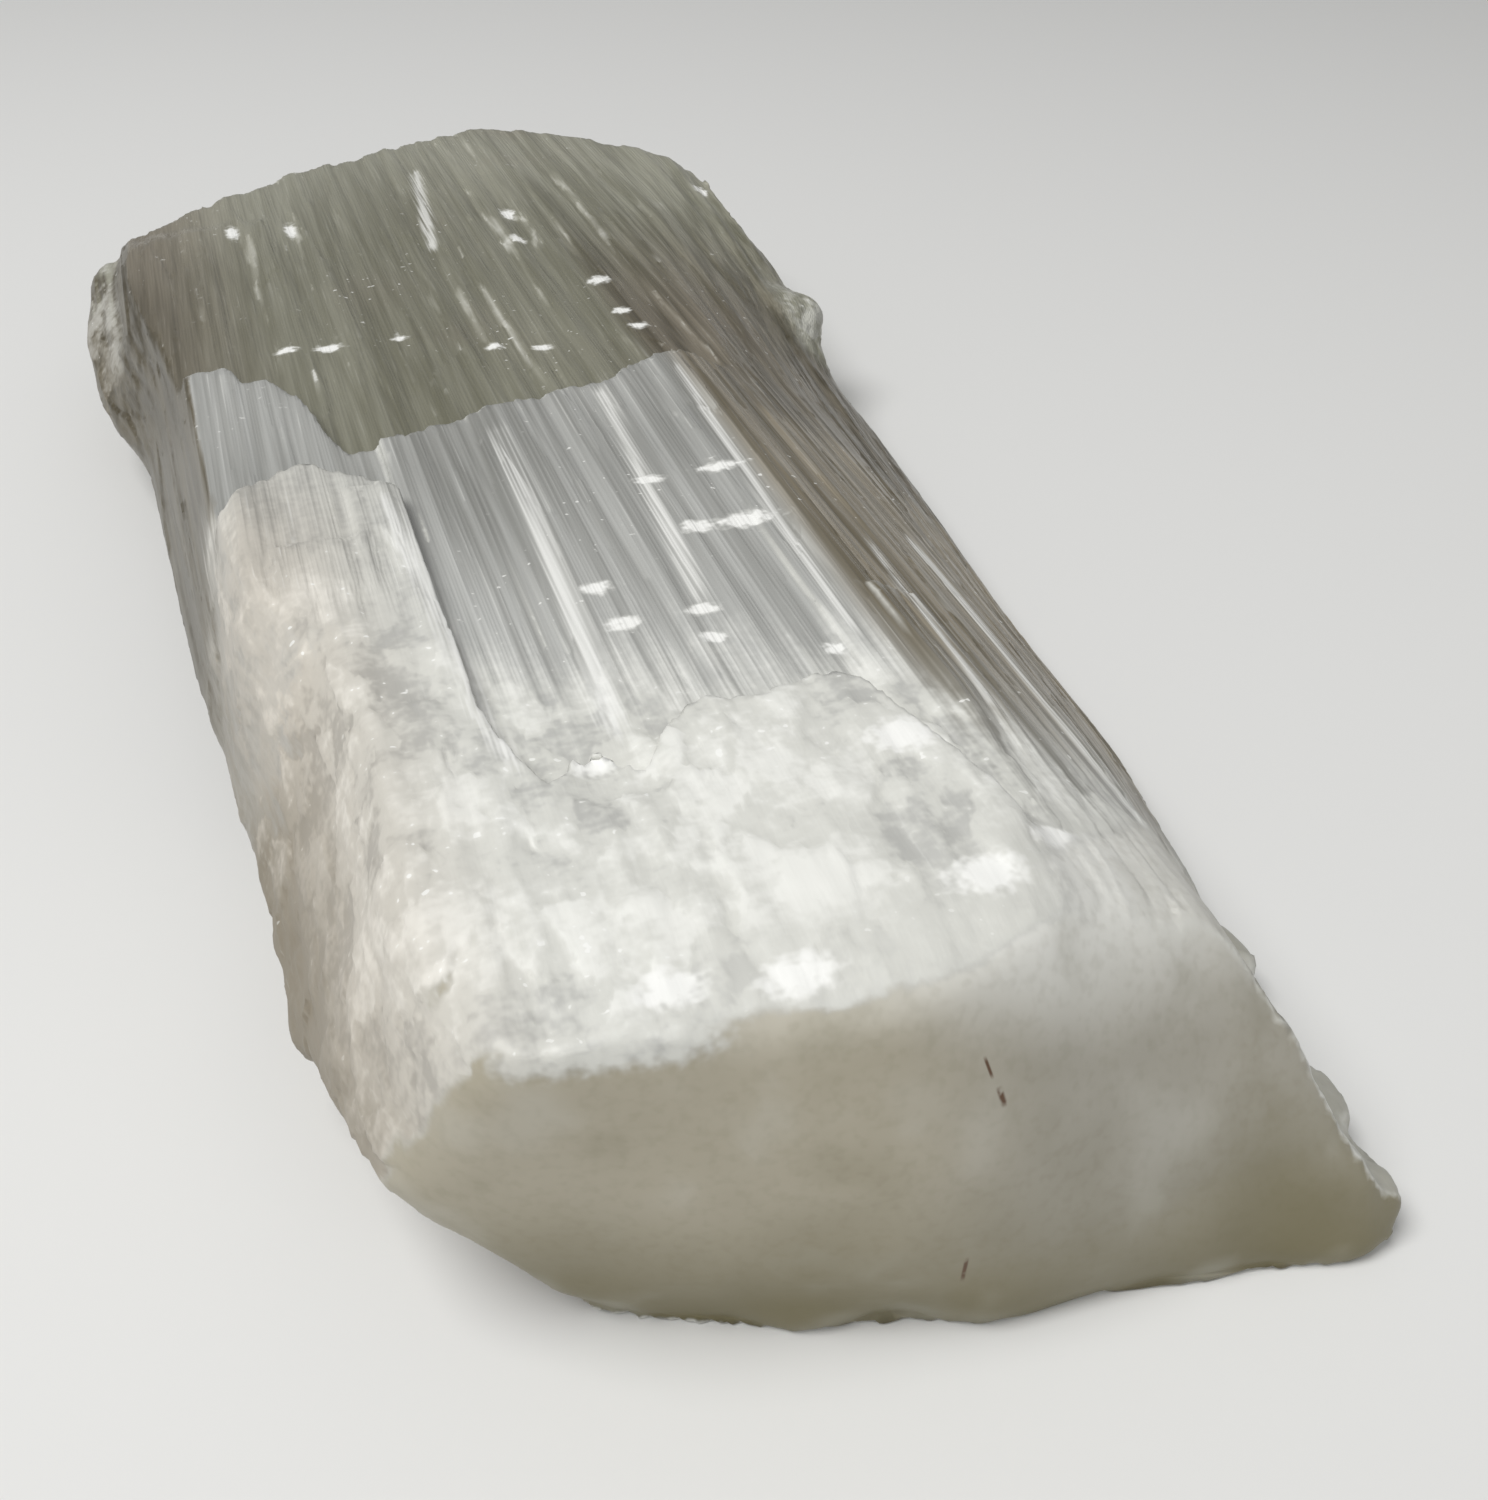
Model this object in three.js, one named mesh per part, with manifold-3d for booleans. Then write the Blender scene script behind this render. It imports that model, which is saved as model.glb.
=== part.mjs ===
// A natural selenite log: one split bundle of gypsum fibres, lying on its flat cleavage side.
// Millimetres. +Y runs along the fibres from the worn end to the broken end, +X is to the right as
// seen from the worn end, and +Z is up. The origin is the middle of the footprint, on the resting face.

import * as THREE from "three";
import { mergeVertices } from "three/addons/utils/BufferGeometryUtils.js";
import Module from "manifold-3d";

const wasm = await Module();
wasm.setup();

// Driving dimensions of the log
const LENGTH = 200;
const WIDTH = 90;
const THICKNESS = 28;
const FIBRE = 1.5; // width of one ridge of fibres
const RIDGE = 0.4; // how far a ridge stands out of its face
const STATION = 6; // length of the ridges' stretches between two kinks

// Long edges of the log, each as [y, x, z] stations from the worn end to the broken end
const LEFT_FOOT = [
  [-110, -13, 0], [-90, -16, 0], [-60, -24, 0], [0, -29, 0], [60, -34, 0], [110, -34, 0],
];
const LEFT_EDGE = [
  [-110, -27.4, 14], [-88, -28, 13.8], [-85, -29.4, 13], [-80, -31.6, 11], [-73, -32.6, 9], [-53, -33.4, 9],
  [-37, -34.6, 9], [-26, -36.3, 9], [-4, -37.4, 9], [18, -38.6, 8.5], [26, -40.4, 8.5], [33, -43, 9],
  [40, -44.4, 10], [52, -44.9, 12], [64, -43.8, 14], [71, -42.4, 16], [110, -42, 16],
];
const TOP_LEFT = [
  [-110, -20, 26], [-92, -22, 26.3], [-88, -24, 27.2], [-80, -25, 28], [-65, -24, 28], [-51, -25.5, 28],
  [-44, -30.8, 27.4], [-36, -31, 28], [-20, -31, 28], [10, -32.3, 26], [50, -36.6, 22.4],
  [66, -37.6, 19], [110, -38, 18],
];
const TOP_RIGHT = [
  [-110, 9, 27], [-90, 10, 27.5], [-70, 11, 28], [-5, 11, 27], [20, 14, 25.5], [60, 20, 23], [110, 24, 22],
];
const SHOULDER = [
  [-110, 22, 20], [-85, 24, 20], [-60, 26, 18.5], [0, 28, 17.5], [35, 31, 18.5], [73, 33, 20], [110, 33, 20],
];
const RIGHT_EDGE = [
  [-110, 33.4, 2.2], [-102, 33.4, 2.2], [-96, 32.8, 2.6], [-90, 33.3, 2.8], [-84, 34, 3], [-78, 34.9, 3],
  [-72, 36.1, 3], [-66, 37.4, 3], [-61, 38.4, 3], [-51, 39.4, 3.2], [-35, 39.3, 4],
  [-16, 40.5, 5], [0, 40.6, 6.5], [19, 40.2, 9], [26, 41.4, 10], [33, 43.2, 11.5], [39, 41, 14],
  [54, 39.9, 17], [73, 38.7, 19], [110, 37, 19],
];
const RIGHT_FOOT = [
  [-110, 29, 0], [-90, 32, 0], [-50, 36, 0], [0, 36, 0], [50, 35, 0], [110, 33, 0],
];

// Cleaved layers of the top: each edge is the broken end of the layer that stays, as [x, y] points from
// left to right, and all past it towards +Y is split off down to a level that falls with y
const PAST = 1.2 * LENGTH;
const LAYERS = [
  {
    level: 24.3,
    fall: 0.01,
    edge: [[-WIDTH, -26], [-31, -26], [-24, -22.5], [-20, -25.5], [-17, -28.5], [-17, PAST]],
  },
  {
    level: 25.4,
    fall: 0.004,
    edge: [
      [-17, PAST], [-17, -60], [-15.8, -67], [-14.5, -71], [-11, -68.5], [-8, -71], [-4, -65.5], [8, -66],
      [10.5, -75], [13.5, -84], [18, -88], [WIDTH, -96],
    ],
  },
  {
    level: 22,
    fall: 0.028,
    edge: [
      [-WIDTH, 9.5], [-28.5, 9.5], [-27.5, 4.5], [-25, 4.5], [-22.5, -1], [-21, -10], [-19.6, -15],
      [-18, -14.6], [-12, -12.8], [-1, -10], [5, -9], [11, -4.8], [WIDTH, 8],
    ],
  },
];
const BUNDLE = 2.4; // width of the fibre bundles that break off at their own lengths
const BREAK = 0.9; // how far those ends stand out of line

// Broken far end in plan as [x, y] points from left to right, and its lean per mm of height
const FAR_END = [
  [-WIDTH, 58], [-44, 70.5], [-38, 67.2], [-27, 76.5], [-14, 86.5], [0, 95], [12.5, 100.8], [20, 97.6],
  [28.5, 88.4], [38.4, 74], [WIDTH, -14],
];
const FAR_LEAN = 0.12;

// Worn near end: y of its face at the foot and at the top, as [x, y] stations
const NEAR_FOOT = [
  [-45, -82], [-25, -86.8], [-18, -89.6], [-13, -92], [-6, -94.8], [5, -97.8], [23, -98.8], [33, -101],
  [45, -102],
];
const NEAR_TOP = [
  [-45, -82], [-28, -86], [-23, -92], [-14, -93], [2, -93.8], [10, -90], [17, -86], [24, -81], [45, -66],
];
const NEAR_BULGE = 1.4; // how far the middle of the face stands out
const NEAR_CELLS = [32, 8]; // cells across and up the face

// Knobbly lumps on the sides as [x, y, z, half width, half length], and how high they are for their width
const LUMPS = [
  [31, -99.4, 2.4, 2.4, 3], [31.8, -97.5, 2.7, 2.3, 2.8], [32.2, -90.3, 2.8, 2.7, 3.9],
  [33.2, -84, 3, 2, 2.3], [32.9, -76.6, 2.9, 3, 4.8], [-30, -67.2, 8.2, 3, 4], [-26.4, -79, 12, 3.4, 4.5],
  [-39.4, 41, 9.6, 4.6, 7], [-39.4, 52.5, 12, 5, 7.5], [-38.8, 61, 13.6, 4.6, 7], [37.6, 31, 11.5, 5.4, 6.8],
];
const LUMP_RISE = 0.85;
const UNEVEN = 0.09; // how uneven the lumps are, as a share of their size

// Shallow scallops in the top as [x, y, radius]
const SCALLOPS = [[-21.5, -57, 4], [-18.4, -63, 3.6], [-11, -72, 3.6]];
const SCALLOP_DEPTH = 0.5;

// A repeatable number from 0 to 1 for a whole number
function chance(n) {
  const s = Math.sin(n * 127.1 + 11.7) * 43758.5453;
  return s - Math.floor(s);
}

// Stations as a function of their first value, straight from one to the next
function line(stations) {
  const size = stations[0].length - 1;
  const at = Float32Array.from(stations, (station) => station[0]);
  const values = Float32Array.from(stations.flatMap((station) => station.slice(1)));
  const straight = new THREE.LinearInterpolant(at, values, size, new Float32Array(size));
  return (t) => [...straight.evaluate(THREE.MathUtils.clamp(t, at[0], at[at.length - 1]))];
}

// A closed geometry as a solid, and back
function solidOf(geometry) {
  const bare = new THREE.BufferGeometry().setAttribute("position", geometry.getAttribute("position"));
  const merged = mergeVertices(bare.setIndex(geometry.index), 1e-4);
  const mesh = new wasm.Mesh({
    numProp: 3,
    vertProperties: merged.attributes.position.array,
    triVerts: new Uint32Array(merged.index.array),
  });
  return new wasm.Manifold(mesh);
}

function geometryOf(solid) {
  const mesh = solid.getMesh();
  return new THREE.BufferGeometry()
    .setAttribute("position", new THREE.BufferAttribute(new Float32Array(mesh.vertProperties), 3))
    .setIndex(new THREE.BufferAttribute(new Uint32Array(mesh.triVerts), 1));
}

// A block over the whole log with one of its sides moved, point by point
function shapedBlock(size, cells, move) {
  const block = new THREE.BoxGeometry(...size, ...cells);
  const place = block.getAttribute("position");
  const point = new THREE.Vector3();
  for (let i = 0; i < place.count; i++) {
    move(point.fromBufferAttribute(place, i));
    place.setXYZ(i, ...point);
  }
  return solidOf(block);
}

// How far the ridge of fibres at x stands out: the same all along the log, but for a slow wander
function ridgeAt(x, y, seed) {
  const fibre = Math.round(x / FIBRE);
  const wander = 0.4 * Math.sin(0.05 * y + 6.3 * chance(fibre + seed + 71));
  return RIDGE * (2 * chance(fibre + seed) - 1 + wander);
}

// Height at x of a cross-section profile given as [x, z] corners, running on steeply past its ends
function heightOn(corners, x, past) {
  const [first, last] = [corners[0], corners[corners.length - 1]];
  if (x < first[0]) return first[1] + past * (first[0] - x);
  if (x > last[0]) return last[1] + past * (x - last[0]);
  return line(corners)(x)[0];
}

const FIBRE_LINES = Math.ceil((1.2 * WIDTH) / FIBRE);
const STATIONS = Math.ceil((1.2 * LENGTH) / STATION);
const UPPER = [LEFT_EDGE, TOP_LEFT, TOP_RIGHT, SHOULDER, RIGHT_EDGE].map(line);
const LOWER = [LEFT_EDGE, LEFT_FOOT, RIGHT_FOOT, RIGHT_EDGE].map(line);

// All that lies under the log's top and flanks, with its ridges of fibres
function underTop() {
  const size = [FIBRE_LINES * FIBRE, 1.2 * LENGTH, THICKNESS];
  return shapedBlock(size, [FIBRE_LINES, STATIONS, 1], (point) => {
    const profile = UPPER.map((edge) => edge(point.y));
    const flat = point.x > profile[1][0] && point.x < profile[2][0];
    const top = heightOn(profile, point.x, -3) + (flat ? 0.5 : 1) * ridgeAt(point.x, point.y, 0);
    point.z = point.z < 0 ? -3 * THICKNESS : Math.max(top, -2 * THICKNESS);
  });
}

// All that lies over the flanks' undercut and the resting face
function overFoot() {
  const size = [FIBRE_LINES * FIBRE, 1.2 * LENGTH, THICKNESS];
  const under = shapedBlock(size, [FIBRE_LINES / 2, STATIONS / 3, 1].map(Math.ceil), (point) => {
    const profile = LOWER.map((edge) => edge(point.y)).map(([x, z]) => [x, z || -RIDGE]);
    const ridge = point.x < profile[1][0] ? ridgeAt(point.x, point.y, 400) : 0;
    point.z = point.z < 0 ? heightOn(profile, point.x, 1.5) + ridge : 4 * THICKNESS;
  });
  const table = new THREE.BoxGeometry(2 * LENGTH, 2 * LENGTH, 4 * THICKNESS);
  return under.intersect(solidOf(table.translate(0, 0, 2 * THICKNESS)));
}

// All that lies behind the worn near face
function behindNearFace() {
  const [foot, top] = [line(NEAR_FOOT), line(NEAR_TOP)];
  const size = [1.2 * WIDTH, LENGTH, 1.3 * THICKNESS];
  return shapedBlock(size, [NEAR_CELLS[0], 1, NEAR_CELLS[1]], (point) => {
    point.z += 0.5 * THICKNESS;
    const up = THREE.MathUtils.clamp(point.z / THICKNESS, 0, 1);
    const flat = THREE.MathUtils.lerp(foot(point.x)[0], top(point.x)[0], up ** 1.5);
    point.y = point.y < 0 ? flat - NEAR_BULGE * Math.sin(Math.PI * up) : LENGTH;
  });
}

// A broken edge: where it runs across the fibres, each bundle ends at its own length
function brokenEdge(corners, seed) {
  const points = [];
  corners.slice(0, -1).forEach(([x0, y0], i) => {
    const [x1, y1] = corners[i + 1];
    const bundles = Math.min(Math.floor(Math.abs(x1 - x0) / BUNDLE), 12);
    points.push([x0, y0]);
    for (let b = 1; b < bundles; b++) {
      const n = seed + 31 * i + b;
      const t = (b + 0.5 * (chance(n) - 0.5)) / bundles;
      points.push([x0 + t * (x1 - x0), y0 + t * (y1 - y0) + BREAK * (2 * chance(n + 500) - 1)]);
    }
  });
  return [...points, corners[corners.length - 1]];
}

// An upright prism over all that lies past an edge in plan
function pastEdge(edge) {
  const shape = new THREE.Shape(edge.map(([x, y]) => new THREE.Vector2(x, y)));
  shape.lineTo(edge[edge.length - 1][0], PAST);
  shape.lineTo(edge[0][0], PAST);
  return new THREE.ExtrudeGeometry(shape, { depth: 2 * THICKNESS, bevelEnabled: false });
}

// What is split off above one layer: its underside is ridged along the fibres too
function splitOff(layer, i) {
  const size = [FIBRE_LINES * FIBRE, 1.2 * LENGTH, THICKNESS];
  const slab = shapedBlock(size, [FIBRE_LINES, Math.ceil(STATIONS / 3), 1], (point) => {
    const floor = layer.level - layer.fall * point.y + 0.6 * ridgeAt(point.x, point.y, 900 * (i + 1));
    point.z = point.z < 0 ? floor : 2 * THICKNESS;
  });
  return slab.intersect(solidOf(pastEdge(brokenEdge(layer.edge, 1000 * (i + 1)))));
}

function pastFarEnd() {
  const space = pastEdge(brokenEdge(FAR_END, 7000));
  const place = space.getAttribute("position");
  for (let i = 0; i < place.count; i++) {
    place.setY(i, place.getY(i) + FAR_LEAN * (place.getZ(i) - THICKNESS));
  }
  return solidOf(space);
}

// An uneven ball, stretched and set in place
function unevenBall(radius, seed, stretch, [x, y, z]) {
  const ball = new THREE.IcosahedronGeometry(1, 2);
  const place = ball.getAttribute("position");
  const way = new THREE.Vector3();
  for (let i = 0; i < place.count; i++) {
    way.fromBufferAttribute(place, i);
    const swell = Math.sin(3.1 * way.x + seed) + Math.sin(4.3 * way.y + 2 * seed) + Math.sin(3.7 * way.z);
    place.setXYZ(i, ...way.multiplyScalar(radius * (1 + UNEVEN * swell)));
  }
  return solidOf(ball.scale(...stretch).translate(x, y, z));
}

function crystalSolid() {
  let crystal = underTop().intersect(overFoot());
  LAYERS.forEach((layer, i) => {
    crystal = crystal.subtract(splitOff(layer, i));
  });
  LUMPS.forEach(([x, y, z, halfWidth, halfLength], n) => {
    const stretch = [1, halfLength / halfWidth, LUMP_RISE];
    crystal = crystal.add(unevenBall(halfWidth, n, stretch, [x, y, z]));
  });
  crystal = crystal.subtract(pastFarEnd());
  SCALLOPS.forEach(([x, y, radius], n) => {
    const dish = unevenBall(2 * radius, n + 30, [1, 1, 0.5], [x, y, THICKNESS + radius - SCALLOP_DEPTH]);
    crystal = crystal.subtract(dish);
  });
  return crystal.intersect(behindNearFace());
}

const material = new THREE.MeshStandardMaterial({ color: 0xc9c6bb, roughness: 0.45, metalness: 0 });
const crystal = new THREE.Mesh(geometryOf(crystalSolid()), material);
crystal.name = "crystal";
crystal.geometry.computeBoundingBox();
const { min, max } = crystal.geometry.boundingBox;
crystal.position.set(-(min.x + max.x) / 2, -(min.y + max.y) / 2, -min.z);

const log = new THREE.Group();
log.add(crystal);

export default log;
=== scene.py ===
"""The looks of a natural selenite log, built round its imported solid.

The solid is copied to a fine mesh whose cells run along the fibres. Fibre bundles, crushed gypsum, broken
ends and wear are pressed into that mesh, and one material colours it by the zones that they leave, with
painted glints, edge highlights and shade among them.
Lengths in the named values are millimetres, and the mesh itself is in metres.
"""

import functools
import itertools
import math

import bpy
import numpy as np
from mathutils import Matrix, Vector


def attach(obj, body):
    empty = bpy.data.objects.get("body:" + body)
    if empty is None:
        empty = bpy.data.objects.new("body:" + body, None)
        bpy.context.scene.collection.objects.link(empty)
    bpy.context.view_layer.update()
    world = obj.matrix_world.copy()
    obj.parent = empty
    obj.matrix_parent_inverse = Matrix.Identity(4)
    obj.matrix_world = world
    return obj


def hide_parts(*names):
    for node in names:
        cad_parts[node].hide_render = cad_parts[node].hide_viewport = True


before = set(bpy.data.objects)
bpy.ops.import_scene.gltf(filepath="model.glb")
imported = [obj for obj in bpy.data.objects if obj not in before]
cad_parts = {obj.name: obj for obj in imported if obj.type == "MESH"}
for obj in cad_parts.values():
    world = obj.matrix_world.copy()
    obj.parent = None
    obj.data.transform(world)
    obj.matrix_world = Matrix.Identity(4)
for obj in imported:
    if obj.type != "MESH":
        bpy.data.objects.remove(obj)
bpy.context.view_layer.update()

# Fine mesh: cell size across the fibres, how much longer cells are along them, and the most triangles
MM = 0.001
CELL = 0.32
CELL_STRETCH = 2.3
MOST_TRIANGLES = 192000

# Heights of the layers that the top has split into
TOP_LAYER = 27.0
FAR_LAYER = 23.0

# White streaks along the fibres of the top, each from one x, y to another, with its half width
STREAKS = [
    ((-6.2, -15), (-8, -66), 0.9),
    ((4.8, -9), (2.2, -52), 0.7),
    ((12.9, -6), (11.4, -60), 0.5),
    ((19.2, -41), (17.2, -70), 0.45),
    ((25.9, -34), (24.9, -82), 0.6),
    ((1.4, 82), (-2.1, 44), 0.8),
    ((-18.1, -30), (-15.4, -70), 0.9),
]

# White bruises where the fibres were knocked, as x, y, half width across the fibres and half length along
BRUISES = [
    (-22, 17.7, 1.2, 0.8), (-17.8, 17, 1.4, 1), (-24.6, 61, 0.8, 2.6), (-17.6, 60, 0.7, 3),
    (9.4, 57, 0.9, 2.2), (8.4, 46, 0.9, 1.6), (14, 27.5, 1.3, 1.3), (13.9, 17, 1, 1), (14.4, 12, 1.1, 0.9),
    (3.4, 9.5, 1.1, 0.8), (-1.3, 11.5, 0.9, 0.8), (-10.2, 18, 0.9, 0.7), (37.4, 64, 1, 1.6),
    (9.6, -38.8, 2.6, 1.2), (5.4, -38.7, 1.3, 1.1), (10.4, -29.2, 2.2, 0.8), (3.9, -29.6, 1.4, 0.8),
    (-4.8, -46, 1.3, 0.9), (-4, -51.4, 1.4, 0.9), (2, -51, 1.3, 0.8), (1.6, -55, 1.1, 0.8),
    (9.4, -59, 0.9, 0.8), (8, -86.5, 2.2, 1.4), (-4.9, -90.3, 2, 1.2), (-11.8, -89.2, 1.9, 1.2),
    (8.5, -73.2, 2.2, 1.5), (-10.9, -68.7, 1.7, 1.3), (14.6, -83.2, 2, 1.3),
]

# Flakes of crushed gypsum, each kind as its size along x, y and z and its seed
LARGE_FLAKES = ((3.2, 4.6, 3.2), 50)
SMALL_FLAKES = ((1.4, 2.2, 1.4), 60)

# Thin ledges left on the top, each as its least and greatest x, its broken end's y, its length and its height
LEDGES = [(14.8, 18.8, -51, 24, 0.5), (-21, -17.4, -27.6, 12, 0.35), (-27.6, -20.3, -36, 10, 0.4)]

# Crevice between the far left lobes and the log, as its x and its ends' y
CREVICE = (-39.2, 37, 70)
CREVICE_DEPTH = 0.5

# Edge between the top and the worn face in plan, as x and y
NEAR_EDGE = [(-23.6, -91.6), (-13.6, -92.6), (2.4, -93.4), (10.4, -89.6), (17.4, -85.6), (24.4, -80.6)]

# Where each zone starts and where it is full, along x, y or z
CHIPPED_X = (-6, -13)
ROUNDED_X = (-13, -6)
CRUSHED_Y = (-46, -80)
WORN_Y = (-78, -81)
BLOCK_X = (-14, -18)
FAR_Y = (-17, -12)
BEVEL_X = (11.5, 15)
RIGHT_LOBE_X = (35, 38.5)
LUMPS_X = (29, 33)
LUMPS_Y = (-62, -74)
LUMPS_Z = (9, 5)
TOP_Z = (8, 12)

# Middle of the lobe on the right, along y
RIGHT_LOBE_Y = 29

# How far the worn face's foot waves in and out
FOOT_WAVE = 0.9

# Swelling of that foot towards the right, as its x, its half width and how far it stands out
FOOT_SWELL = (23, 11, 1.5)

# Dark needles in the worn face, each from one x, z to another, with its half width
NEEDLES = [
    ((4.5, 21.8), (5, 20.1), 0.16),
    ((5.3, 19.7), (5.7, 18.1), 0.28),
    ((3.6, 7.6), (3.4, 5.2), 0.2),
]

# Stage, in metres: half the floor's width, how far it lies under the log, and the light from all round
FLOOR_HALF = 4.0
FLOOR_DROP = 0.0002
SKY_STRENGTH = 0.26

# Lamps, each as its name, place, aim, size in metres and power in watts
LAMPS = [
    ("key", (-0.35, -0.12, 0.75), (0, 0, 0.01), 0.5, 5.2),
    ("fill", (0.2, -0.9, 0.5), (0, 0, 0.02), 0.8, 1.4),
]

# Camera of the photograph: image and focal length in pixels, place in mm, and degrees to the right and down
IMAGE = (1488, 1500)
FOCAL_PIXELS = 1600
CAMERA_AT = (-27.26, -147.79, 87.7)
CAMERA_YAW = 18.55
CAMERA_PITCH = 36.64


def srgb(red, green, blue):
    """A colour as seen on a screen, 0 to 255, as linear light with alpha."""
    parts = [c / 255 for c in (red, green, blue)]
    return [c / 12.92 if c <= 0.04045 else ((c + 0.055) / 1.055) ** 2.4 for c in parts] + [1.0]


# Dark and light fibres of the far layer, of the layer over it, of the brown right side and of the left flank,
# whose colours are darkened as painted shade
FAR_DARK = srgb(116, 114, 90)
FAR_LIGHT = srgb(196, 195, 176)
LAYER_DARK = srgb(128, 128, 122)
LAYER_LIGHT = srgb(226, 227, 223)
BROWN_DARK = srgb(94, 86, 66)
BROWN_LIGHT = srgb(176, 166, 147)
FLANK_DARK = srgb(58, 52, 35)
FLANK_LIGHT = srgb(112, 103, 80)

# Crushed selenite, from its hollows to its whitest bruises, and the pinkish kind on the left with its painted
# shade by the table
WINDOW = srgb(190, 190, 185)
CLOUDY = srgb(218, 218, 211)
HEAPED = srgb(238, 238, 232)
CHALK = srgb(249, 249, 245)
PINK_WINDOW = srgb(168, 159, 145)
PINK_CLOUDY = srgb(194, 185, 171)
PINK = srgb(222, 214, 201)
PINK_SHADE = srgb(134, 125, 108)

# Lumps at the right foot, and the worn face with its amber foot and rusty needles
NODULE = srgb(166, 164, 152)
MILK = srgb(176, 169, 150)
BLUISH = srgb(166, 162, 150)
AMBER = srgb(108, 100, 64)
RUST = srgb(92, 64, 40)

# Clear selenite: its index of refraction, and the colour and density with which its inside takes up light
REFRACTION = 1.52
INSIDE = (0.76, 0.75, 0.64, 1)
INSIDE_DENSITY = 30

# Sizes along x, y and z of the fibres' bundles and threads and of the dust, and the height of a thread
BUNDLE = (0.9, 48, 0.9)
THREAD = (0.24, 24, 0.24)
DUST = (0.75, 0.75, 0.75)
THREAD_HEIGHT = 0.25


# Noise and zones

def lattice(cell, seed):
    """A repeatable number from -1 to 1 for each whole-number cell."""
    x, y, z = (cell[:, i].astype(np.uint32) for i in range(3))
    mixed = x * np.uint32(374761393) + y * np.uint32(668265263) + z * np.uint32(2246822519)
    mixed = mixed + np.uint32(seed * 3266489917 & 0xFFFFFFFF)
    mixed = (mixed ^ (mixed >> np.uint32(13))) * np.uint32(1274126177)
    return ((mixed ^ (mixed >> np.uint32(16))) & np.uint32(0xFFFF)).astype(float) / 32767.5 - 1


def noise(points, size, seed):
    """Smooth noise from -1 to 1 whose lumps have that size, one number or one for each axis."""
    place = points / np.asarray(size, float)
    cell = np.floor(place).astype(np.int64)
    part = place - cell
    ease = part * part * (3 - 2 * part)
    total = np.zeros(len(points))
    for corner in itertools.product((0, 1), repeat=3):
        share = np.prod(np.where(corner, ease, 1 - ease), axis=1)
        total += share * lattice(cell + corner, seed)
    return total


def chunks(points, size, seed):
    """Uneven chunks of that size: each point's chunk number, from -1 to 1, and its way from the middle."""
    place = points / np.asarray(size, float)
    cell = np.floor(place).astype(np.int64)
    nearest = np.full(len(points), np.inf)
    number = np.zeros(len(points))
    way = np.zeros_like(place)
    for step in itertools.product((-1, 0, 1), repeat=3):
        other = cell + step
        shift = np.stack([lattice(other, seed + axis) for axis in range(3)], axis=1)
        offset = place - (other + 0.5 + 0.45 * shift)
        distance = (offset * offset).sum(axis=1)
        closer = distance < nearest
        nearest[closer] = distance[closer]
        number[closer] = lattice(other[closer], seed + 3)
        way[closer] = offset[closer]
    return number, way


def fade(value, none, full):
    """0 at none, 1 at full, and an eased step between them."""
    t = np.clip((value - none) / (full - none), 0, 1)
    return t * t * (3 - 2 * t)


def zones(points, normals):
    """How much each zone of the log holds at each point, from 0 to 1."""
    x, y, z = points.T
    wander = 4.0 * noise(points, 9, 3) + 2.0 * noise(points, 3, 4)
    reach = 13 * fade(x, 9, 19) - 14 * fade(x, -10, -24)
    up = fade(normals[:, 2], 0.35, 0.7)
    worn = fade(normals[:, 1], -0.3, -0.72) * fade(y, *WORN_Y)
    left = fade(normals[:, 0] - 0.05 * wander, -0.3, -0.62) * (1 - worn)
    far_left_lobe = fade(x, CREVICE[0] + 1.5, CREVICE[0] - 1) * fade(y, CREVICE[1] - 7, CREVICE[1])
    right_lobe = fade(x, *RIGHT_LOBE_X) * fade(np.abs(y - RIGHT_LOBE_Y) + 0.7 * wander, 12, 4)
    return {
        "up": up,
        "worn": worn,
        "left": left,
        "crushed": fade(y + wander + reach, *CRUSHED_Y),
        "block": fade(z, TOP_LAYER - 0.9, TOP_LAYER) * fade(x, *BLOCK_X) * up,
        "far": fade(z, FAR_LAYER + 0.6, FAR_LAYER - 0.2) * fade(y, *FAR_Y),
        "bevel": fade(x, *BEVEL_X) * (1 - worn),
        "broken": fade(normals[:, 1], 0.35, 0.7),
        "lumps": fade(x, *LUMPS_X) * fade(y, *LUMPS_Y) * fade(z, *LUMPS_Z),
        "lobe": np.maximum(far_left_lobe, right_lobe),
    }


# Shape

def fine_mesh(node):
    """A mesh of small cells over a solid, longer along the fibres than across them."""
    squeezed = node.data.copy()
    squeezed.transform(Matrix.Diagonal((1, 1 / CELL_STRETCH, 1, 1)))
    piece = bpy.data.objects.new("selenite", squeezed)
    bpy.context.scene.collection.objects.link(piece)
    grid = piece.modifiers.new("grid", "REMESH")
    grid.mode = "VOXEL"
    grid.voxel_size = CELL * MM
    apply_modifiers(piece)
    piece.data.transform(Matrix.Diagonal((1, CELL_STRETCH, 1, 1)))
    return piece


def apply_modifiers(piece):
    """Gives a piece the mesh that its modifiers make, and drops the modifiers."""
    ready = piece.evaluated_get(bpy.context.evaluated_depsgraph_get())
    mesh = bpy.data.meshes.new_from_object(ready)
    piece.modifiers.clear()
    piece.data = mesh


def read_points(mesh):
    points = np.empty(3 * len(mesh.vertices), np.float32)
    mesh.vertices.foreach_get("co", points)
    return points.reshape(-1, 3).astype(float) / MM


def read_normals(mesh):
    normals = np.empty(3 * len(mesh.vertices), np.float32)
    mesh.vertices.foreach_get("normal", normals)
    return normals.reshape(-1, 3).astype(float)


def write_points(mesh, points):
    mesh.vertices.foreach_set("co", (points * MM).astype(np.float32).ravel())
    mesh.update()


def read_edges(mesh):
    edges = np.empty(2 * len(mesh.edges), np.int32)
    mesh.edges.foreach_get("vertices", edges)
    return edges.reshape(-1, 2)


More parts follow.
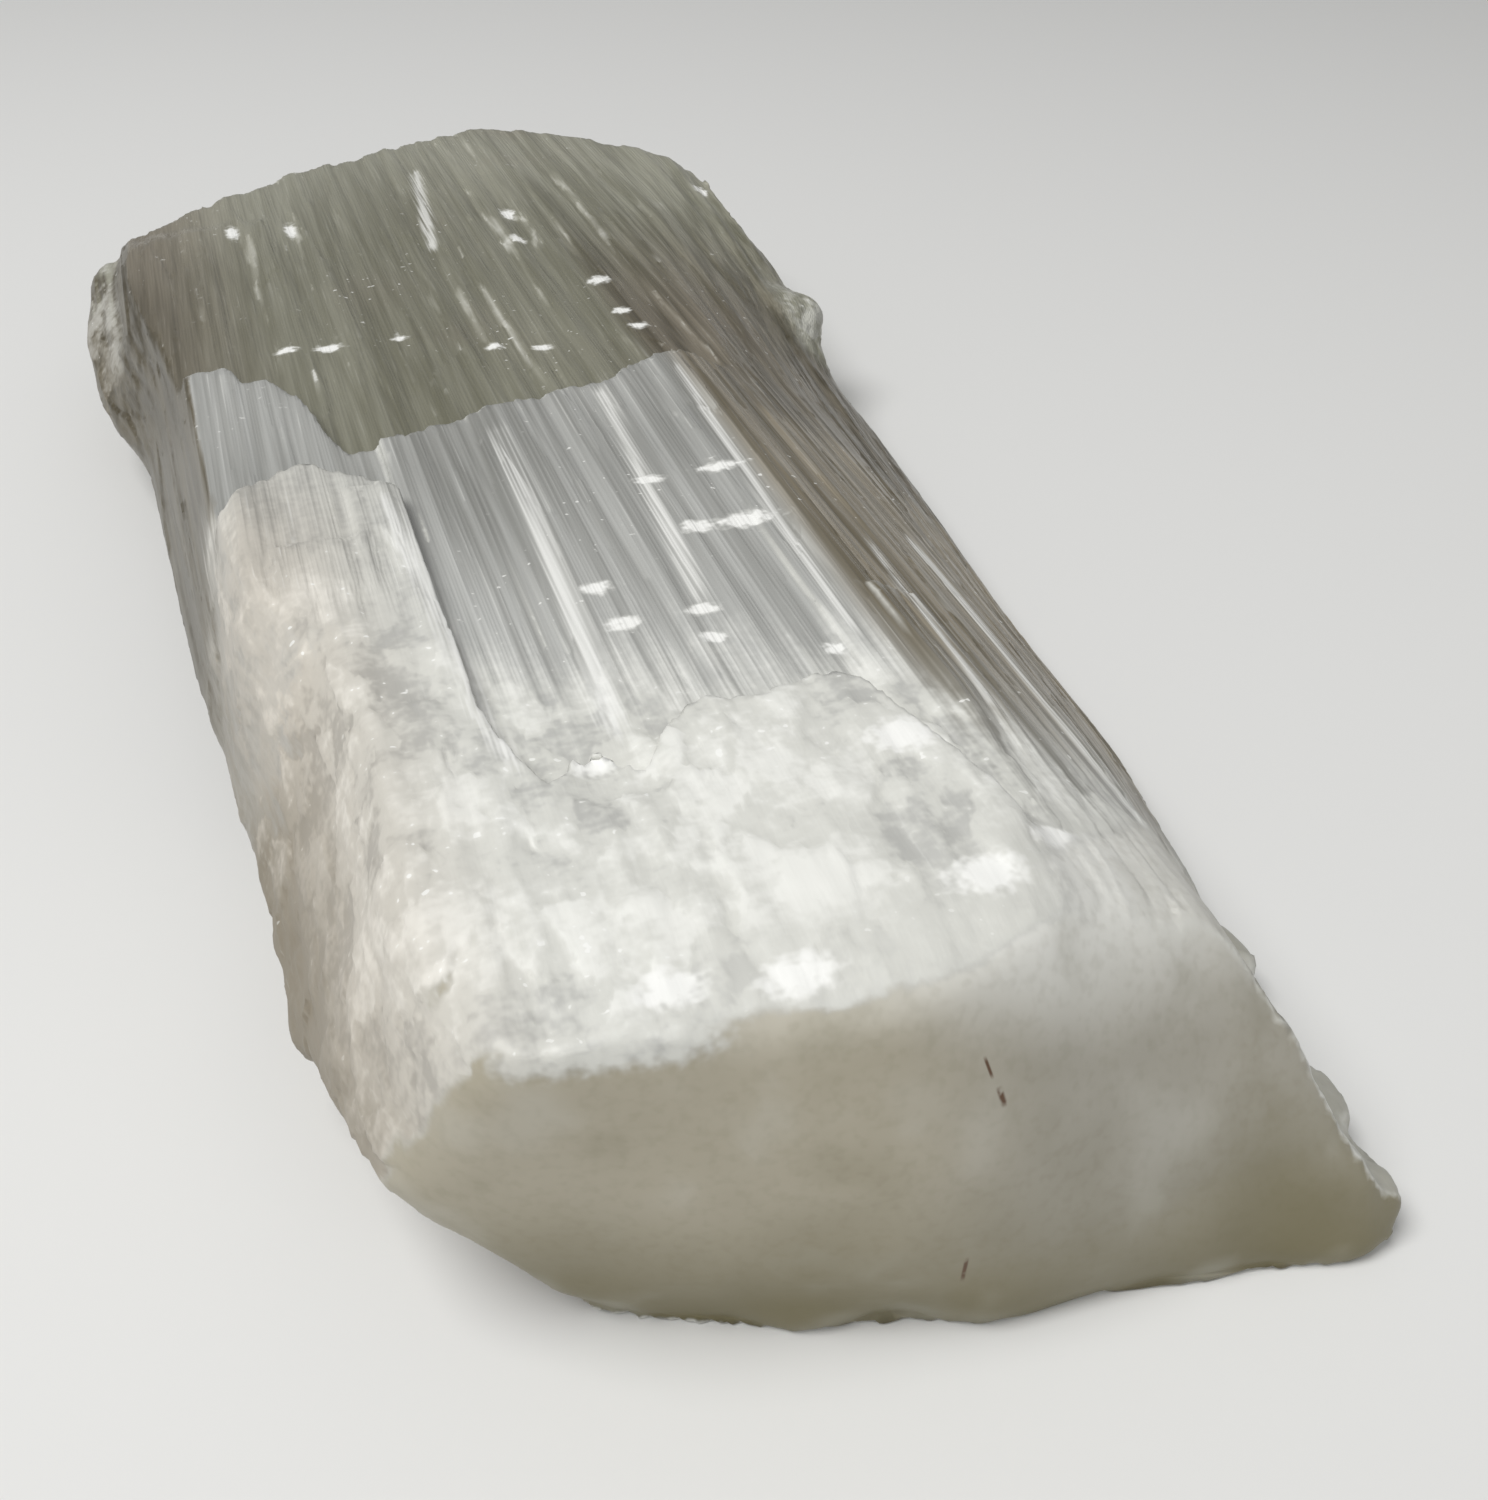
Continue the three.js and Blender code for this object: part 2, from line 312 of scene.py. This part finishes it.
def neighbour_mean(values, edges):
    """The mean of each vertex's neighbours."""
    ends = edges.T.ravel()
    others = edges[:, ::-1].T.ravel()
    count = np.maximum(np.bincount(ends, minlength=len(values)), 1)
    sums = [np.bincount(ends, weights=column[others], minlength=len(values)) for column in values.T]
    return np.stack(sums, axis=1) / count[:, None]


def relax(points, edges, weight, rounds):
    """Moves each point towards its neighbours' mean, as far as its weight says, that many times."""
    for _ in range(rounds):
        points = points + 0.6 * weight[:, None] * (neighbour_mean(points, edges) - points)
    return points


def wear_smooth(mesh):
    """The worn end, the lumps and the left side lose the solid's facets, and every edge is eased."""
    edges = read_edges(mesh)
    points = read_points(mesh)
    zone = zones(points, read_normals(mesh))
    x, y, _ = points.T
    points = relax(points, edges, np.maximum(zone["worn"] * fade(x, 31, 26), zone["lobe"]), 70)
    near_side = fade(x, -20, -25) * fade(y, -32, -40)
    far_side = 0.4 * fade(x, -26.5, -30) * fade(y, 36, 28)
    points = relax(points, edges, 0.9 * np.maximum(near_side, far_side), 36)
    points = relax(points, edges, np.maximum(zone["lumps"], zone["worn"]), 6)
    points = relax(points, edges, edge_nearness(points, 7) * fade(x, *ROUNDED_X), 70)
    points = relax(points, edges, np.full(len(points), 0.5), 2)
    write_points(mesh, points)


def edge_nearness(points, reach):
    """1 close to the edge over the worn face, and 0 beyond a reach."""
    x, y, z = points.T
    edge = np.interp(x, *zip(*NEAR_EDGE))
    return fade(np.abs(y - edge), reach, 0.3 * reach) * fade(z, 14, 20)


def fibre_relief(points):
    """Bundles that stand out and break off at their own lengths, with finer fibres on them."""
    bundle, _ = chunks(points, (2.3, 55, 2.3), 30)
    fibre, _ = chunks(points, (0.95, 26, 0.95), 40)
    return 0.1 * bundle + 0.07 * fibre + 0.12 * bands(points)


def bands(points):
    """Broad bands along the fibres, from -1 to 1."""
    return 0.65 * noise(points, (5.5, 140, 5.5), 12) + 0.35 * noise(points, (2.2, 90, 2.2), 22)


def clumps(points):
    """Crushed gypsum, from -1 in its hollows to 1 on its clumps."""
    large, _ = chunks(points, *LARGE_FLAKES)
    small, _ = chunks(points, *SMALL_FLAKES)
    return 0.4 * noise(points, 7, 309) + 0.36 * large + 0.22 * small + 0.22 * noise(points, 2.3, 14)


def crushed_relief(points):
    """Clumps, and overlapping flakes that are each tilted their own way."""
    total = 0.24 * clumps(points)
    for flakes, height in ((LARGE_FLAKES, 0.2), (SMALL_FLAKES, 0.1)):
        number, way = chunks(points, *flakes)
        total += height * (way[:, 0] * np.cos(9 * number) + way[:, 1] * np.sin(9 * number))
    return total


def wear_relief(points):
    """Shallow dents of the worn face."""
    return 0.16 * noise(points, 9, 15) + 0.06 * noise(points, 3, 16)


def knob_relief(points):
    """Knobs on the lumps and lobes."""
    return 0.5 * noise(points, 4.2, 17) + 0.2 * noise(points, 1.9, 18)


def ledge_relief(points):
    """Ledges that end in a step and sink back into the top."""
    x, y, _ = points.T
    total = np.zeros(len(points))
    for left, right, end, length, height in LEDGES:
        across = fade(x, left - 0.3, left + 0.3) * fade(x, right + 0.3, right - 0.3)
        total += height * across * fade(y, end, end - 0.8) * fade(y, end - length, end - 0.6 * length)
    return total


def press_relief(mesh):
    """Presses each zone's relief into the mesh, along each point's normal."""
    points = read_points(mesh)
    normals = read_normals(mesh)
    zone = zones(points, normals)
    x, y, z = points.T
    crushed = np.maximum(fade(zone["crushed"], 0.3, 0.7), 0.6 * zone["left"] * fade(y, -20, -34))
    crushed *= 1 - 0.8 * edge_nearness(points, 5) * fade(x, *ROUNDED_X)
    fibrous = (1 - zone["worn"]) * (1 - 0.75 * crushed) * (1 - zone["broken"])
    out = fibre_relief(points) * fibrous
    out += crushed_relief(points) * crushed * (1 - zone["worn"])
    out += wear_relief(points) * zone["worn"]
    out += FOOT_WAVE * noise(points, 6, 23) * zone["worn"] * fade(z, 7, 1)
    out += knob_relief(points) * np.maximum(zone["lumps"], 0.2 * zone["lobe"])
    out += ledge_relief(points) * zone["up"]
    out -= CREVICE_DEPTH * crevice_share(points)
    points = points + normals * out[:, None]
    points[:, 1] += splinters(points) * zone["broken"] * fade(points[:, 2], 0.5, 2)
    points[:, 1] -= foot_swell(x, y, z)
    points[:, 2] = np.maximum(points[:, 2], 0)
    write_points(mesh, points)


def crevice_share(points):
    """1 in the crevice and 0 off it."""
    x, y, z = points.T
    middle, near_end, far_end = CREVICE
    ends = fade(y, near_end, near_end + 3) * fade(y, far_end, far_end - 3)
    return fade(np.abs(x - middle), 1.3, 0.2) * ends * fade(z, 3, 6)


def splinters(points):
    """How far the fibres stand out of the broken end."""
    return 0.6 * noise(points, (0.8, 400, 2.5), 19) + 0.3 * noise(points, (0.4, 400, 1.2), 20)


def foot_swell(x, y, z):
    """How far the worn face's foot swells towards the near end."""
    middle, half_width, most = FOOT_SWELL
    return most * fade(np.abs(x - middle), half_width, 0.2 * half_width) * fade(z, 8, 1) * fade(y, -84, -94)


def thin_out(piece):
    """Leaves fewer triangles, but as many as there were under the bruises."""
    triangles = sum(len(face.vertices) - 2 for face in piece.data.polygons)
    points = read_points(piece.data)
    marked = np.flatnonzero((bruise_marks(points) > 0) & (points[:, 2] > TOP_Z[0]))
    piece.vertex_groups.new(name="marked").add(marked.tolist(), 1, "REPLACE")
    fewer = piece.modifiers.new("fewer", "DECIMATE")
    fewer.ratio = min(1, MOST_TRIANGLES / triangles)
    fewer.vertex_group = "marked"
    fewer.invert_vertex_group = True
    apply_modifiers(piece)
    piece.vertex_groups.clear()


def streak_marks(points):
    """1 along the middle of each white streak, falling to 0 at twice its half width."""
    x, y, _ = points.T
    marks = np.zeros(len(points))
    for (x0, y0), (x1, y1), half_width in STREAKS:
        along = (y - y0) / (y1 - y0)
        aside = np.abs(x - x0 - along * (x1 - x0))
        inside = fade(along, -0.03, 0.06) * fade(along, 1.03, 0.9)
        marks = np.maximum(marks, np.clip(1 - 0.5 * aside / half_width, 0, 1) * inside)
    return marks


def bruise_marks(points):
    """1 in the middle of each bruise, falling to a half at its rim and to 0 at twice its size."""
    x, y, _ = points.T
    marks = np.zeros(len(points))
    for x0, y0, across, along in BRUISES:
        marks = np.maximum(marks, 1 - 0.5 * np.hypot((x - x0) / across, (y - y0) / along))
    return marks


def mark_zones(mesh):
    """Writes the zones and marks that the material reads onto the mesh."""
    points = read_points(mesh)
    normals = read_normals(mesh)
    zone = zones(points, normals)
    x, y, z = points.T
    top = zone["up"] * fade(z, *TOP_Z)
    zone["rim"] = 4 * zone["worn"] * (1 - zone["worn"]) * fade(x, 16, 24) * fade(z, 2, 5)
    over = y - np.interp(x, *zip(*NEAR_EDGE)) + 1.5 * noise(points, 4, 24)
    zone["worn"] = np.maximum(zone["worn"], fade(over, 5, 2.5) * fade(x, 9, 15) * fade(z, 12, 16))
    # Convex edges turn white: partly chipped gypsum, partly a painted highlight along each edge.
    bend = ((points - neighbour_mean(points, read_edges(mesh))) * normals).sum(axis=1)
    zone["edge"] = fade(bend, 0.06, 0.2) * (1 - zone["broken"])
    zone["chip"] = edge_nearness(points, 2.4) * fade(x, *CHIPPED_X) * fade(z, 24, 26.4)
    zone["soft"] = edge_nearness(points, 9) * fade(x, *ROUNDED_X)
    zone["band"] = 0.5 + 0.5 * bands(points)
    zone["clump"] = 0.5 + 0.5 * clumps(points)
    zone["mist"] = 0.5 + 0.2 * noise(points, (13, 17, 13), 45) + 0.12 * noise(points, (6, 8, 6), 46)
    zone["stain"] = 0.5 + 0.2 * noise(points, 4, 57) + 0.12 * noise(points, 1.8, 58)
    zone["streak"] = streak_marks(points) * top
    zone["bruise"] = bruise_marks(points) * top
    for name, values in zone.items():
        attribute = mesh.attributes.new(name, "FLOAT", "POINT")
        attribute.data.foreach_set("value", np.clip(values, 0, 1).astype(np.float32))


# Shader nodes

def add(tree, kind, inputs=None, **settings):
    """A new node with its settings and its inputs, each a plain value, a signal or another node's output."""
    node = tree.nodes.new(kind)
    for name, value in settings.items():
        setattr(node, name, value)
    for name, value in (inputs or {}).items():
        source = value.socket if isinstance(value, Signal) else value
        if isinstance(source, bpy.types.NodeSocket):
            tree.links.new(source, node.inputs[name])
        else:
            node.inputs[name].default_value = source
    return node


class Signal:
    """A number at each point of the surface, worked out by shader nodes."""

    def __init__(self, tree, socket):
        self.tree = tree
        self.socket = socket

    def math(self, operation, *operands):
        node = add(self.tree, "ShaderNodeMath", dict(enumerate(operands)), operation=operation)
        return Signal(self.tree, node.outputs[0])

    def __add__(self, other):
        return self.math("ADD", self, other)

    def __sub__(self, other):
        return self.math("SUBTRACT", self, other)

    def __rsub__(self, other):
        return self.math("SUBTRACT", other, self)

    def __mul__(self, other):
        return self.math("MULTIPLY", self, other)

    __radd__ = __add__
    __rmul__ = __mul__

    def larger(self, other):
        return self.math("MAXIMUM", self, other)

    def smaller(self, other):
        return self.math("MINIMUM", self, other)

    def magnitude(self):
        return self.math("ABSOLUTE", self)

    def ramp(self, none, full):
        """0 at none, 1 at full, and an eased step between them."""
        inputs = {"Value": self, "From Min": none, "From Max": full}
        node = add(self.tree, "ShaderNodeMapRange", inputs, interpolation_type="SMOOTHSTEP")
        return Signal(self.tree, node.outputs["Result"])

    def blend(self, first, second):
        """The first colour where this is 0 and the second where it is 1."""
        inputs = {"Factor": self, 6: first, 7: second}
        return add(self.tree, "ShaderNodeMix", inputs, data_type="RGBA").outputs[2]


class Surface:
    """The patterns and zones of one material, over a node tree."""

    def __init__(self, tree):
        self.tree = tree
        self.place = add(tree, "ShaderNodeTexCoord").outputs["Object"]
        split = add(tree, "ShaderNodeSeparateXYZ", {0: self.scaled((1, 1, 1), (0, 0, 0))})
        self.x, self.y, self.z = (Signal(tree, output) for output in split.outputs)

    def scaled(self, size, shift):
        """Object coordinates as multiples of a size in mm."""
        scale = [1 / (s * MM) for s in size]
        inputs = {"Vector": self.place, "Scale": scale, "Location": shift}
        return add(self.tree, "ShaderNodeMapping", inputs).outputs[0]

    def zone(self, name):
        """A zone that the mesh carries."""
        return Signal(self.tree, add(self.tree, "ShaderNodeAttribute", attribute_name=name).outputs["Fac"])

    def grain(self, size, seed, detail):
        """Noise from 0 to 1 whose lumps have that size along each axis."""
        inputs = {"Vector": self.scaled(size, (seed,) * 3), "Scale": 1.0, "Detail": detail}
        return Signal(self.tree, add(self.tree, "ShaderNodeTexNoise", inputs).outputs["Fac"])

    def stripe(self, across, along, start, end, half_width):
        """1 on a line between two points of a plane, and 0 beside it and past its ends."""
        slope = (end[0] - start[0]) / (end[1] - start[1])
        aside = (across - (along - start[1]) * slope - start[0]).magnitude()
        low, high = sorted((start[1], end[1]))
        inside = (along - 0.5 * (low + high)).magnitude().ramp(0.5 * (high - low), 0.2 * (high - low))
        return aside.ramp(half_width, 0.25 * half_width) * inside


# Material

class Patterns(Surface):
    """The zones that the mesh carries, and the fine patterns that break them up."""

    NAMES = (
        "up", "worn", "left", "crushed", "block", "far", "bevel", "broken", "edge", "lumps", "lobe", "chip",
        "soft", "rim", "band", "clump", "streak", "bruise", "mist", "stain",
    )

    def __init__(self, tree):
        super().__init__(tree)
        zone = {name: self.zone(name) for name in self.NAMES}
        self.zones = zone
        self.mist = zone["mist"]
        self.stain = zone["stain"]
        self.thread = self.grain(THREAD, 9, 0)
        self.dust = self.grain(DUST, 21, 1)
        bundle = self.grain(BUNDLE, 5, 0).ramp(0.34, 0.66)
        # Painted light: the fibre tone grows lighter towards the near end, so fibre carries it along with the
        # fibres' own tone.
        near = self.y.ramp(-22, -64)
        fibre = 0.42 * zone["band"] + (0.2 + 0.25 * zone["bevel"]) * (bundle - 0.5)
        fibre = fibre + 0.3 * (self.thread - 0.5)
        self.fibre = fibre + near * (0.28 - 0.22 * zone["bevel"]) + 0.18 + 0.3 * (self.mist - 0.5)
        self.clump = zone["clump"] + 0.4 * (self.dust - 0.5)
        self.loose = zone["crushed"].ramp(0.25, 0.5).larger(zone["left"])


def chip_and_edge_highlight_share(pattern):
    """Where the edge over the worn face is chipped white, and where convex edges on that side carry a painted
    highlight.
    """
    zone = pattern.zones
    edge = zone["chip"].larger(zone["edge"] * pattern.x.ramp(*CHIPPED_X))
    return (edge + 0.7 * (pattern.dust - 0.5)).ramp(0.2, 0.85)


def brown_and_shaded_side_share(pattern):
    """Where the left side is clear and dark brown, with painted shade deepening it towards the far end and
    the table.
    """
    low = 58 + 1.2 * pattern.y - pattern.z + 16 * (pattern.mist - 0.5)
    low = low + 34 * (pattern.fibre - 0.5) + 12 * (pattern.stain - 0.5)
    return low.ramp(-9, 11) * pattern.zones["left"] * pattern.x.ramp(-27, -31)


def white_marks_and_glints(pattern):
    """Bruises, streaks, painted glints along the fibres, and specks."""
    zone = pattern.zones
    bruises = (zone["bruise"] + 0.6 * (pattern.dust - 0.5)).ramp(0.28, 0.72)
    streaks = (zone["streak"] + 0.9 * (pattern.thread - 0.5)).ramp(0.2, 1.0) * 0.8
    # Painted glints: thin white highlight lines on the fibres, fewer on the far layer and on crushed gypsum.
    painted_glints = pattern.thread.ramp(0.71, 0.85) * (0.32 - 0.2 * zone["far"]) * (1 - 0.8 * pattern.loose)
    specks = pattern.dust.ramp(0.71, 0.77) * pattern.mist.ramp(0.42, 0.6) * 0.8 * zone["up"]
    return bruises.larger(streaks).larger(painted_glints).larger(specks)


def chalk_share(pattern, brown_and_shaded_side, marks, chip, worn):
    """How much the surface is crushed to white, painted glints and painted edge highlights included."""
    zone = pattern.zones
    fibre, clump = pattern.fibre, pattern.clump
    chalk = (zone["crushed"] + 0.7 * (fibre - 0.5) + 0.5 * (clump - 0.5)).ramp(0.12, 0.78)
    chalk = chalk.larger(zone["block"] * (0.5 + 0.3 * fibre + 0.3 * clump))
    chalk = chalk.larger((zone["left"] - brown_and_shaded_side) * (0.5 + 0.5 * clump))
    # Convex edges whiter: partly chips, partly painted highlight.
    chalk = chalk.larger(zone["edge"] * 0.5 * pattern.z.ramp(1, 5)).larger(zone["broken"] * 0.5)
    chalk = chalk.larger(zone["lumps"] * 0.45) * (1 - 0.9 * brown_and_shaded_side)
    chalk = chalk.larger(zone["lobe"] * clump.ramp(0.4, 0.75) * 0.7).larger(marks).larger(chip)
    return chalk.smaller(1.0) * (1 - worn)


def clear_colour(pattern, brown_and_shaded_side):
    """Clear selenite: olive in the far layer, grey in the layer over it, brown down the right side."""
    zone = pattern.zones
    brown = zone["bevel"] * pattern.y.ramp(-84, -52) * pattern.y.ramp(60, 10)
    brown = brown.larger(zone["far"] * pattern.x.ramp(-20, -37)).larger(brown_and_shaded_side)
    brown = brown.larger(zone["far"] * pattern.mist.ramp(0.52, 0.75) * 0.5) * (1 - zone["lobe"])
    pale = (pattern.y + 0.7 * pattern.x.magnitude()).ramp(54, 96) * zone["far"]
    dark = brown.blend(zone["far"].blend(LAYER_DARK, FAR_DARK), BROWN_DARK)
    light = brown.blend(zone["far"].blend(LAYER_LIGHT, FAR_LIGHT), BROWN_LIGHT)
    colour = (pattern.fibre + 0.45 * pale + 0.3 * zone["lobe"]).blend(dark, light)
    # The left side's dark brown: partly its own colour, partly painted shade.
    return brown_and_shaded_side.blend(colour, pattern.fibre.blend(FLANK_DARK, FLANK_LIGHT))


def crushed_colour(pattern):
    """Crushed selenite: cloudy hollows and white heaps, pinkish on the left, with painted shade by the table.
    """
    zone = pattern.zones
    pink = pattern.x.ramp(-16, -31) * pattern.y.ramp(-10, -40)
    shade = zone["left"] * (pattern.z + 8 * (pattern.stain - 0.5)).ramp(24, 9)
    patchy = pattern.loose.larger(zone["block"] * 0.6)
    tone = patchy * pattern.clump + (1 - patchy) * pattern.fibre - 0.1 * shade
    hollow = tone.ramp(0.22, 0.5)
    heap = tone.ramp(0.5, 0.85)
    white = heap.blend(hollow.blend(WINDOW, CLOUDY), HEAPED)
    white = (pink * 0.85).blend(white, heap.blend(hollow.blend(PINK_WINDOW, PINK_CLOUDY), PINK))
    white = (shade * (0.95 - 0.35 * heap)).blend(white, PINK_SHADE)
    return (zone["soft"] * 0.75).blend(white, CLOUDY)


def worn_colour(pattern):
    """The worn face: milky, greyer to the right, white at its top and amber at its foot, with needles."""
    height = pattern.z + 9 * (pattern.mist - 0.5) + 0.3 * pattern.x
    foot = (pattern.z + 0.08 * pattern.x + 12 * (pattern.mist - 0.5)).ramp(15, 2)
    milk = pattern.x.ramp(-4, 12).blend(MILK, BLUISH)
    milk = (height.ramp(21, 30) * 0.9).blend(milk, HEAPED)
    skin = (foot * 0.9).blend(milk, AMBER)
    skin = (pattern.dust.ramp(0.6, 0.2) * 0.12 + pattern.stain.ramp(0.5, 0.25) * 0.22).blend(skin, AMBER)
    skin = (pattern.stain.ramp(0.5, 0.75) * 0.2).blend(skin, CLOUDY)
    needles = [pattern.stripe(pattern.x, pattern.z, *needle) for needle in NEEDLES]
    return (functools.reduce(Signal.larger, needles) * pattern.dust.ramp(0.3, 0.5)).blend(skin, RUST)


def selenite_material():
    material = bpy.data.materials.new("selenite")
    material.use_nodes = True
    tree = material.node_tree
    tree.nodes.clear()
    pattern = Patterns(tree)
    zone = pattern.zones

    # Chipped edges, with the painted highlight along convex edges.
    chip = chip_and_edge_highlight_share(pattern)
    worn = (zone["worn"] + 0.6 * (pattern.dust - 0.5) * zone["soft"]).ramp(0.1, 0.9) * (1 - chip)
    brown_and_shaded_side = brown_and_shaded_side_share(pattern)
    marks = white_marks_and_glints(pattern)
    chalk = chalk_share(pattern, brown_and_shaded_side, marks, chip, worn)

    # The white marks, painted glints among them, are chalk white over the crushed colour.
    colour = chalk.blend(clear_colour(pattern, brown_and_shaded_side), marks.blend(crushed_colour(pattern), CHALK))
    colour = (zone["lumps"] * (0.85 - 0.5 * pattern.stain.ramp(0.45, 0.7))).blend(colour, NODULE)
    colour = worn.blend(colour, worn_colour(pattern))
    colour = (zone["rim"] * 0.8).blend(colour, CLOUDY)

    clear = (1 - chalk) * (1 - worn)
    sides = zone["left"].larger(zone["bevel"] * (1 - zone["far"]))
    see_through = clear * (0.16 + 0.24 * zone["far"]) * (1 - sides)
    fibres = pattern.thread * (1 - 0.9 * pattern.loose) * (1 - zone["worn"])
    bump = add(tree, "ShaderNodeBump", {"Strength": 0.45, "Distance": THREAD_HEIGHT * MM, "Height": fibres})
    shader = add(tree, "ShaderNodeBsdfPrincipled", {
        "Base Color": colour,
        "Roughness": 0.3 + 0.22 * chalk + 0.12 * worn,
        "IOR": REFRACTION,
        "Transmission Weight": see_through,
        "Normal": bump.outputs[0],
    })
    inside = add(tree, "ShaderNodeVolumeAbsorption", {"Color": INSIDE, "Density": INSIDE_DENSITY})
    output = add(tree, "ShaderNodeOutputMaterial")
    tree.links.new(shader.outputs[0], output.inputs["Surface"])
    tree.links.new(inside.outputs[0], output.inputs["Volume"])
    return material


# Stage

def plain_material(name, colour, roughness):
    material = bpy.data.materials.new(name)
    material.use_nodes = True
    shader = material.node_tree.nodes["Principled BSDF"]
    shader.inputs["Base Color"].default_value = colour
    shader.inputs["Roughness"].default_value = roughness
    return material


def lay_floor():
    mesh = bpy.data.meshes.new("floor")
    corners = [(-1, -1), (1, -1), (1, 1), (-1, 1)]
    points = [(FLOOR_HALF * x, FLOOR_HALF * y, -FLOOR_DROP) for x, y in corners]
    mesh.from_pydata(points, [], [(0, 1, 2, 3)])
    floor = bpy.data.objects.new("floor", mesh)
    bpy.context.scene.collection.objects.link(floor)
    mesh.materials.append(plain_material("floor", srgb(230, 230, 228), 0.8))


def hang_light(name, place, aim, size, power):
    light = bpy.data.lights.new(name, "AREA")
    light.shape = "DISK"
    light.size = size
    light.energy = power
    lamp = bpy.data.objects.new(name, light)
    lamp.location = place
    lamp.rotation_mode = "QUATERNION"
    lamp.rotation_quaternion = (Vector(aim) - Vector(place)).to_track_quat("-Z", "Y")
    bpy.context.scene.collection.objects.link(lamp)


def light_studio():
    world = bpy.data.worlds.new("studio")
    world.use_nodes = True
    sky = world.node_tree.nodes["Background"]
    sky.inputs["Color"].default_value = (1, 1, 1, 1)
    sky.inputs["Strength"].default_value = SKY_STRENGTH
    bpy.context.scene.world = world
    for lamp in LAMPS:
        hang_light(*lamp)


def set_camera():
    data = bpy.data.cameras.new("camera")
    data.sensor_width = 36
    data.lens = FOCAL_PIXELS / max(IMAGE) * data.sensor_width
    data.clip_start = 0.001
    camera = bpy.data.objects.new("camera", data)
    camera.location = Vector(CAMERA_AT) * MM
    yaw = math.radians(CAMERA_YAW)
    pitch = math.radians(CAMERA_PITCH)
    ahead = Vector((math.sin(yaw) * math.cos(pitch), math.cos(yaw) * math.cos(pitch), -math.sin(pitch)))
    camera.rotation_mode = "QUATERNION"
    camera.rotation_quaternion = ahead.to_track_quat("-Z", "Y")
    bpy.context.scene.collection.objects.link(camera)
    bpy.context.scene.camera = camera


def build_crystal():
    piece = fine_mesh(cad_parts["crystal"])
    wear_smooth(piece.data)
    press_relief(piece.data)
    thin_out(piece)
    mark_zones(piece.data)
    piece.data.shade_smooth()
    piece.data.materials.clear()
    piece.data.materials.append(selenite_material())
    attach(piece, "root")
    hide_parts("crystal")


build_crystal()
lay_floor()
light_studio()
set_camera()
bpy.context.scene.view_settings.view_transform = "Standard"
